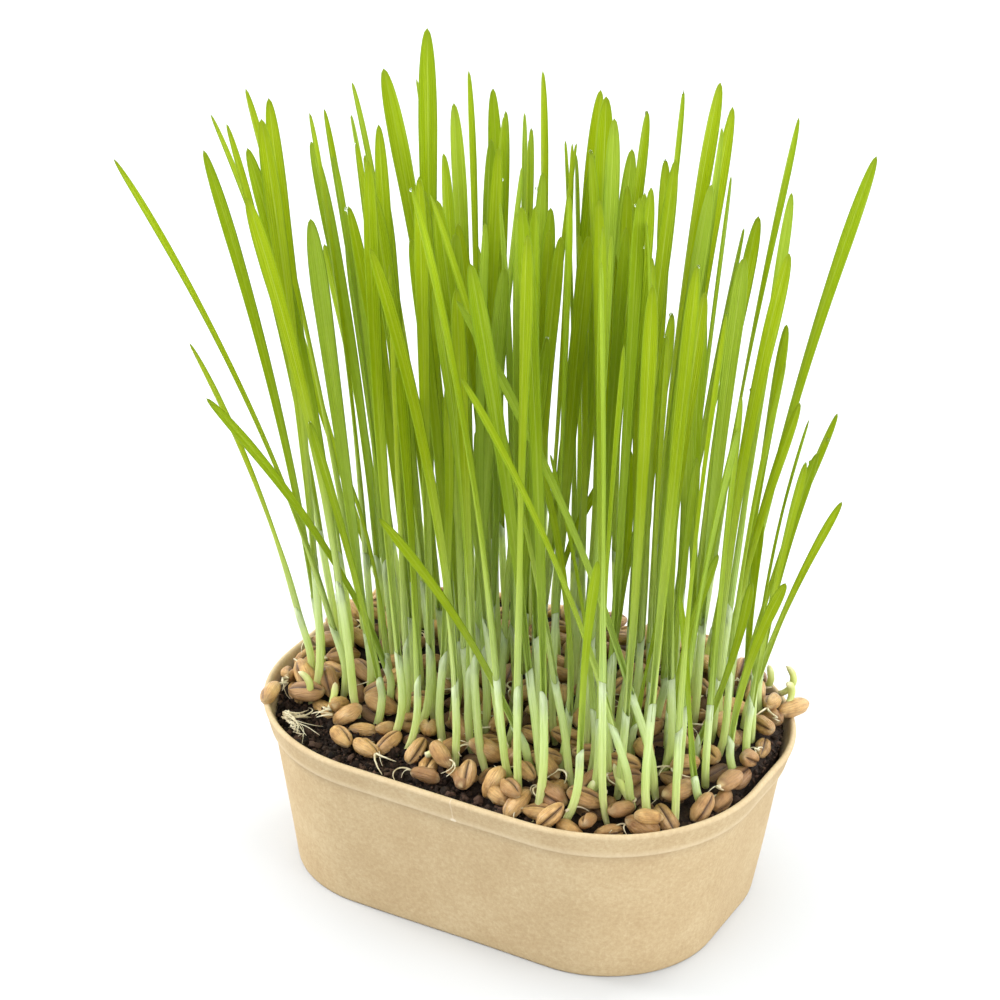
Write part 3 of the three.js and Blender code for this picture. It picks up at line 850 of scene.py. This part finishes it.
def add_leaf(pile, shoot, tone):
    """The leaf: rolled up in its sheath, open and keeled above it, with a rounded tip."""
    rows = 38
    columns = 11
    bottom = shoot.sheath_top - 3
    top = shoot.tip[2]
    curl = draw.uniform(0.5, 1.3)
    ripple = draw.uniform(0, 6.28)
    points = []
    along = []
    for row in range(rows):
        share = 1 - (1 - row / (rows - 1)) ** 1.35
        z = bottom + share * (top - bottom)
        _, across, back = shoot.frame_at(min(z, top - 0.35))
        here = shoot.at(z)
        leaf_share = max(0.0, (z - shoot.sheath_top) / (top - shoot.sheath_top))
        half = leaf_half_width(shoot, leaf_share)
        opened = smoothstep(leaf_share, 0.0, 0.42)
        roll = ROLLED_TURN + (curl - ROLLED_TURN) * opened
        girth = half + (LEAF_TUBE_RADIUS * ROLLED_TURN / 2 - half) * (1 - opened) ** 1.5
        bend = girth * 2 / roll
        thickness = (0.08 + 0.07 * opened) * min(1.0, half / 0.6)
        outer = []
        inner = []
        for column in range(columns):
            u = 2 * column / (columns - 1) - 1
            angle = u * roll / 2
            sink = 0.12 * half * abs(u) + 0.05 * math.sin(ripple + 9 * leaf_share + 2 * u) * abs(u)
            x = bend * math.sin(angle)
            y = bend * (math.cos(angle) - 1) + ROLLED_OFFSET * bend * (1 - math.cos(roll / 2)) - sink
            normal_x, normal_y = math.sin(angle), math.cos(angle)
            edge = thickness * (1 - 0.45 * abs(u) ** 3)
            outer.append(here + across * (x + normal_x * edge) + back * (y + normal_y * edge))
            inner.append(here + across * (x - normal_x * edge) + back * (y - normal_y * edge))
        points.extend(outer)
        points.extend(reversed(inner))
        along.extend([leaf_share] * (2 * columns))
    across_values = np.linspace(-1, 1, columns)
    across_values = np.concatenate([across_values, across_values[::-1]])
    faces = loft_faces(rows, 2 * columns)
    values = {"along": np.array(along), "across": np.tile(across_values, rows), "tone": tone}
    pile.add(np.array(points), faces, 1, **values)


def make_shoots(sheath, leaf):
    """Every bunch of shoots in the frame, each as one finer piece. Gives back all shoots."""
    names = sorted(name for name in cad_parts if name.startswith("shoots_"))
    bunches = {name: read_shoots(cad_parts[name]) for name in names}
    everything = [shoot for shoots in bunches.values() for shoot in shoots]
    set_feet(everything)
    for name, shoots in bunches.items():
        pile = Pile()
        for shoot in shoots:
            tone = draw.random()
            add_sheath(pile, shoot, tone)
            add_leaf(pile, shoot, tone)
        pile.build(name.replace("shoots", "grass"), [sheath, leaf], [name])
    return everything


# Grains


def kernel_shape(rings, half_columns):
    """Points, faces and values of one wheat kernel, 1 long: a creased upper side, a germ below."""
    turns = np.linspace(0, 1, half_columns + 1) ** 1.6 * math.pi
    turns = np.concatenate([turns, -turns[-2:0:-1]])
    points = []
    values = {"crease": [], "germ": [], "pale": [], "length": [], "turn": []}
    for ring in range(rings):
        share = (ring + 0.3) / (rings - 0.4)
        x = -0.5 * math.cos(math.pi * share)
        girth = (1 - abs(2 * x) ** 2.3) ** 0.55 * (1 - 0.16 * x)
        for turn in turns:
            groove = math.exp(-((turn / 0.16) ** 2)) * smoothstep(0.5 - abs(x), 0.01, 0.1)
            lips = math.exp(-(((abs(turn) - 0.55) / 0.3) ** 2))
            radius = girth * (1 - 0.40 * groove + 0.07 * lips)
            y = KERNEL_WIDTH_SHARE * radius * math.sin(turn)
            points.append((x, y, KERNEL_DEPTH_SHARE * radius * math.cos(turn)))
            underside = smoothstep(abs(turn), 1.9, 2.7)
            dent = math.exp(-(((x - 0.30) / 0.05) ** 2)) * underside
            # The groove's depth also sets the painted shade that darkens the crease.
            values["crease"].append(groove)
            values["germ"].append(0.7 * dent)
            values["length"].append(x)
            values["turn"].append(abs(turn))
            germ_end = smoothstep(x, 0.34, 0.47) * underside
            values["pale"].append(max(germ_end, 0.5 * smoothstep(-x, 0.42, 0.5)))
    return np.array(points), loft_faces(rings, len(turns)), values


def spine_gaps(starts, ends, point):
    """The distances in plan from a point to many spines, and the heights of the nearest points."""
    along = ends - starts
    share = ((point - starts[:, :2]) * along[:, :2]).sum(1) / (along[:, :2] ** 2).sum(1)
    nearest = starts + np.clip(share, 0, 1)[:, None] * along
    return np.linalg.norm(nearest[:, :2] - point, axis=1), nearest[:, 2]


class Heap:
    """Kernels dropped one after another, each resting on those below it or on the bed."""

    def __init__(self, shoots):
        heights = [bed_height(*shoot.root[:2]) + 1 for shoot in shoots]
        self.stems = np.array([shoot.at(z)[:2] for shoot, z in zip(shoots, heights)])
        self.starts = np.zeros((0, 3))
        self.ends = np.zeros((0, 3))
        self.kernels = []

    def rest_height(self, point):
        """How high a kernel's spine comes to rest over a point."""
        ground = bed_height(*point) - SINK_DEPTH
        if not len(self.starts):
            return ground
        gaps, heights = spine_gaps(self.starts, self.ends, point)
        overlap = np.clip((2 * KERNEL_RADIUS) ** 2 - gaps**2, 0, None)
        return max(ground, (heights + 0.92 * np.sqrt(overlap) - 9 * (overlap == 0)).max())

    def stem_gap(self, start, end):
        """The least distance in plan from a spine to the stems."""
        along = end - start
        share = ((self.stems - start) @ along) / (along**2).sum()
        nearest = start + np.clip(share, 0, 1)[:, None] * along
        return np.linalg.norm(nearest - self.stems, axis=1).min()

    def candidate(self, wall_room, stem_room, farthest):
        """A place for a kernel, with how far it would stand above the bed; None if there is no room."""
        centre = np.array([draw.uniform(-49, 49), draw.uniform(-35, 35)])
        if not 0.3 < bed_depth(*centre) < farthest:
            return None
        heading = draw.uniform(0, math.pi)
        reach = KERNEL_HALF_SPINE * np.array([math.cos(heading), math.sin(heading)])
        start, end = centre - reach, centre + reach
        room = min(inside_depth(*start, WALL_INSET), inside_depth(*end, WALL_INSET))
        if room < wall_room or self.stem_gap(start, end) < stem_room:
            return None
        low, middle, high = self.rest_height(start), self.rest_height(centre), self.rest_height(end)
        lift = max(0.0, middle - (low + high) / 2)
        excess = (low + high) / 2 + lift - bed_height(*centre) + draw.uniform(0, 0.4)
        return excess, (*start, low + lift), (*end, high + lift)

    def add(self, start, end):
        self.starts = np.vstack([self.starts, start])
        self.ends = np.vstack([self.ends, end])
        self.kernels.append((np.array(start), np.array(end)))

    def drop(self, count, height, wall_room, stem_room, farthest=99):
        """Drops kernels into the lowest of several free places, up to a height over the bed."""
        for _ in range(count):
            found = [self.candidate(wall_room, stem_room, farthest) for _ in range(PLACES_TRIED)]
            found = [place for place in found if place and place[0] < height]
            if found:
                _, start, end = min(found)
                self.add(start, end)


def add_kernel(pile, form, start, end):
    """One kernel laid along its spine, rolled at random and a little smaller or larger."""
    shape, faces, values = form
    along = end - start
    heading = math.atan2(along[1], along[0]) + (math.pi if draw.random() < 0.5 else 0)
    pitch = -math.atan2(along[2], math.hypot(along[0], along[1]))
    if math.cos(heading) * along[0] + math.sin(heading) * along[1] < 0:
        pitch = -pitch
    roll = draw.gauss(0, 0.9) if draw.random() < 0.6 else draw.uniform(0, FULL_TURN)
    length = draw.uniform(SHORTEST_KERNEL, LONGEST_KERNEL)
    plump = np.array([1, draw.uniform(0.90, 1.12), draw.uniform(0.90, 1.12)])
    offset = Vector((draw.uniform(0, 90), draw.uniform(0, 90), 0))
    dents = [1 + 0.10 * noise.noise(Vector(point) * 4 + offset) for point in shape]
    uneven = shape * np.array(dents)[:, None]
    middle = (start + end) / 2
    points = turned(uneven * length * plump, heading, pitch, roll) + middle
    # How far a kernel lies low in the bed: it darkens the husk, partly as dampness and partly as
    # painted shade between the kernels.
    buried = 1 - smoothstep(middle[2] - bed_height(middle[0], middle[1]), -1.2, 0.6)
    buried = buried * smoothstep(bed_depth(middle[0], middle[1]), 1.5, 5)
    pile.add(points, faces, 0, tone=draw.random() ** 1.8, buried=buried, **values)
    return heading


def add_tube(pile, path, radii, columns, **values):
    """A closed round tube along a path of points."""
    path = np.asarray(path, float)
    radii = np.broadcast_to(radii, len(path))
    along = np.gradient(path, axis=0)
    along = along / np.linalg.norm(along, axis=1)[:, None]
    side = np.cross(along, (0.31, 0.52, 0.79))
    side = side / np.linalg.norm(side, axis=1)[:, None]
    up = np.cross(side, along)
    points = []
    for centre, radius, across, upward in zip(path, radii, side, up):
        for column in range(columns):
            angle = FULL_TURN * column / columns
            points.append(centre + radius * (across * math.cos(angle) + upward * math.sin(angle)))
    pile.add(points, loft_faces(len(path), columns), **values)


def add_rootlet(pile, start, heading, length, width):
    """A thin curling root that leaves a kernel and comes down on the bed."""
    rows = 14
    bend = draw.uniform(-0.27, 0.27)
    here = np.array(start, float)
    path = []
    for row in range(rows):
        share = row / (rows - 1)
        path.append(here)
        heading += bend + draw.uniform(-0.15, 0.15)
        step = length / rows
        slope = 0.13 * math.cos(math.pi * share) - 0.08
        here = here + np.array([math.cos(heading) * step, math.sin(heading) * step, slope])
        edge = inside_depth(here[0], here[1], WALL_INSET)
        if edge < 0.3:
            here[:2] *= 0.97
    radii = width * (1 - 0.65 * np.linspace(0, 1, rows))
    add_tube(pile, path, radii, 5, green=0.0)


def add_short_sprout(pile, x, y, heading, length, curl):
    """A stubby pale sprout with a rounded end that curls over as it rises."""
    rows = 12
    heading = math.radians(heading)
    slope = 0.35
    here = np.array([x, y, bed_height(x, y) + 0.6])
    path = []
    for _ in range(rows):
        path.append(here)
        step = length / rows
        level = math.cos(slope) * step
        rise = math.sin(slope) * step
        here = here + np.array([math.cos(heading) * level, math.sin(heading) * level, rise])
        slope += curl / rows * 1.6
    share = np.linspace(0, 1, rows)
    radii = 0.75 * np.sqrt(1 - share**5) * (0.8 + 0.3 * share) + 0.02
    green = np.repeat(np.sin(share * math.pi) ** 0.7, 8)
    add_tube(pile, path, radii, 8, green=green)


def make_grains(husk, shoots):
    """The bed: kernels sunk in the soil, and a heap of kernels on them. Gives back the spines."""
    heap = Heap(shoots)
    heap.drop(SUNKEN_COUNT, 0.2, 0.7, 1.6)
    sunken = len(heap.kernels)
    heap.drop(WALL_COUNT, 1.4, 0.15, 1.9, 4.5)
    heap.drop(KERNEL_COUNT, 2.6, 0.5, 1.9)
    for x, y, z, heading in STRAY_KERNELS:
        turn = math.radians(heading)
        reach = KERNEL_HALF_SPINE * np.array([math.cos(turn), math.sin(turn), 0])
        heap.add(np.array([x, y, z]) - reach, np.array([x, y, z]) + reach)
    plain = kernel_shape(8, 5)
    fine = kernel_shape(12, 8)
    below = Pile()
    above = Pile()
    headings = []
    for index, (start, end) in enumerate(heap.kernels):
        pile, form = (below, plain) if index < sunken else (above, fine)
        headings.append(add_kernel(pile, form, start, end))
    above.build("wheat_grains", [husk], ["grain_bed"])
    below.build("sunken_grains", [husk])
    return [(*kernel, heading) for kernel, heading in zip(heap.kernels[sunken:], headings[sunken:])]


def make_rootlets(skin, kernels):
    """Roots that curl out of the kernels, the bare bundle at the left, and the short sprouts."""
    pile = Pile()
    for start, end, heading in kernels:
        if draw.random() > ROOTLET_CHANCE:
            continue
        out = np.array([math.cos(heading), math.sin(heading), 0.1]) * KERNEL_END
        for _ in range(draw.choice((1, 2, 2, 3))):
            turn = heading + draw.uniform(-0.9, 0.9)
            place = (start + end) / 2 + out
            add_rootlet(pile, place, turn, draw.uniform(2.5, 7), draw.uniform(0.12, 0.30))
    x, y = ROOT_BUNDLE
    for _ in range(ROOT_BUNDLE_COUNT):
        turn = math.radians(ROOT_BUNDLE_HEADING + draw.gauss(0, 14))
        place = [x + draw.uniform(-0.9, 0.9), y + draw.uniform(-0.9, 0.9), ROOT_BUNDLE_HEIGHT]
        place[2] += draw.uniform(0, 1.0)
        add_rootlet(pile, place, turn, draw.uniform(5, 10), draw.uniform(0.10, 0.26))
    for sprout in SHORT_SPROUTS:
        add_short_sprout(pile, *sprout)
    return pile.build("rootlets", [skin])


# Water


def make_drops(material, shoots):
    """Small drops of water at the tips and margins of some leaves."""
    shape, faces = ball(2)
    pile = Pile()
    for shoot in shoots:
        if draw.random() > DROP_CHANCE:
            continue
        size = draw.uniform(SMALLEST_DROP, LARGEST_DROP)
        z = shoot.tip[2] - (size if draw.random() < 0.4 else draw.uniform(1, 9))
        here, across, back = shoot.frame_at(z)
        half = leaf_half_width(shoot, (z - shoot.sheath_top) / (shoot.tip[2] - shoot.sheath_top))
        side = across * half * draw.choice((-0.8, 0.2, 0.9)) + back * 0.7 * size
        pile.add(shape * size * np.array([1, 1, 1.1]) + here + side, faces)
    return pile.build("water_drops", [material])


# Stage


def make_floor(material):
    mesh = bpy.data.meshes.new("floor")
    size = 4
    corners = [(-size, -size, 0), (size, -size, 0), (size, size, 0), (-size, size, 0)]
    mesh.from_pydata(corners, [], [(0, 1, 2, 3)])
    mesh.materials.append(material)
    floor = bpy.data.objects.new("floor", mesh)
    bpy.context.scene.collection.objects.link(floor)


def add_light(name, place, target, size, power, colour):
    light = bpy.data.lights.new(name, "AREA")
    light.size = size
    light.energy = power
    light.color = colour
    lamp = bpy.data.objects.new(name, light)
    lamp.location = place
    lamp.rotation_euler = (Vector(target) - Vector(place)).to_track_quat("-Z", "Y").to_euler()
    bpy.context.scene.collection.objects.link(lamp)


def light_stage():
    world = bpy.data.worlds.new("studio")
    world.use_nodes = True
    background = world.node_tree.nodes["Background"]
    background.inputs["Color"].default_value = (0.93, 0.97, 1.0, 1)
    background.inputs["Strength"].default_value = 1.80
    bpy.context.scene.world = world
    target = (0, 0, 0.07)
    add_light("key", (-1.15, -0.20, 0.75), target, 0.6, 16, (1, 0.98, 0.95))
    add_light("fill", (1.20, -0.15, 0.50), target, 0.9, 7.6, (1, 1, 0.98))
    add_light("back", (0.35, 1.0, 0.85), target, 0.7, 10, (1, 1, 0.97))
    add_light("front", (0.3, -1.1, 0.35), (0, 0, 0.05), 0.8, 0.5, (1, 1, 1))


def place_camera():
    """The camera at the photograph's viewing angle, found from the tray's outline."""
    azimuth = math.radians(CAMERA_AZIMUTH)
    elevation = math.radians(CAMERA_ELEVATION)
    roll = math.radians(CAMERA_ROLL)
    target = Vector(CAMERA_TARGET) * MM
    distance = CAMERA_DISTANCE * MM
    level = math.cos(elevation)
    back = Vector((math.sin(azimuth) * level, -math.cos(azimuth) * level, math.sin(elevation)))
    right = (-back).cross(Vector((0, 0, 1))).normalized()
    up = right.cross(-back)
    turned_right = math.cos(roll) * right + math.sin(roll) * up
    turned_up = math.cos(roll) * up - math.sin(roll) * right
    rotation = Matrix((turned_right, turned_up, back)).transposed()
    data = bpy.data.cameras.new("camera")
    data.sensor_width = SENSOR_WIDTH
    data.lens = SENSOR_WIDTH * FOCAL_PIXELS / 1000
    data.clip_end = 20
    camera = bpy.data.objects.new("camera", data)
    camera.matrix_world = Matrix.Translation(target + back * distance) @ rotation.to_4x4()
    bpy.context.scene.collection.objects.link(camera)
    bpy.context.scene.camera = camera


make_tray(kraft_paper())
make_soil(moist_soil())
shoots = make_shoots(pale_sheath(), green_leaf())
make_rootlets(rootlet(), make_grains(grain_husk(), shoots))
make_drops(water(), shoots)
make_floor(pale_floor())
light_stage()
place_camera()
bpy.context.scene.view_settings.view_transform = "Standard"
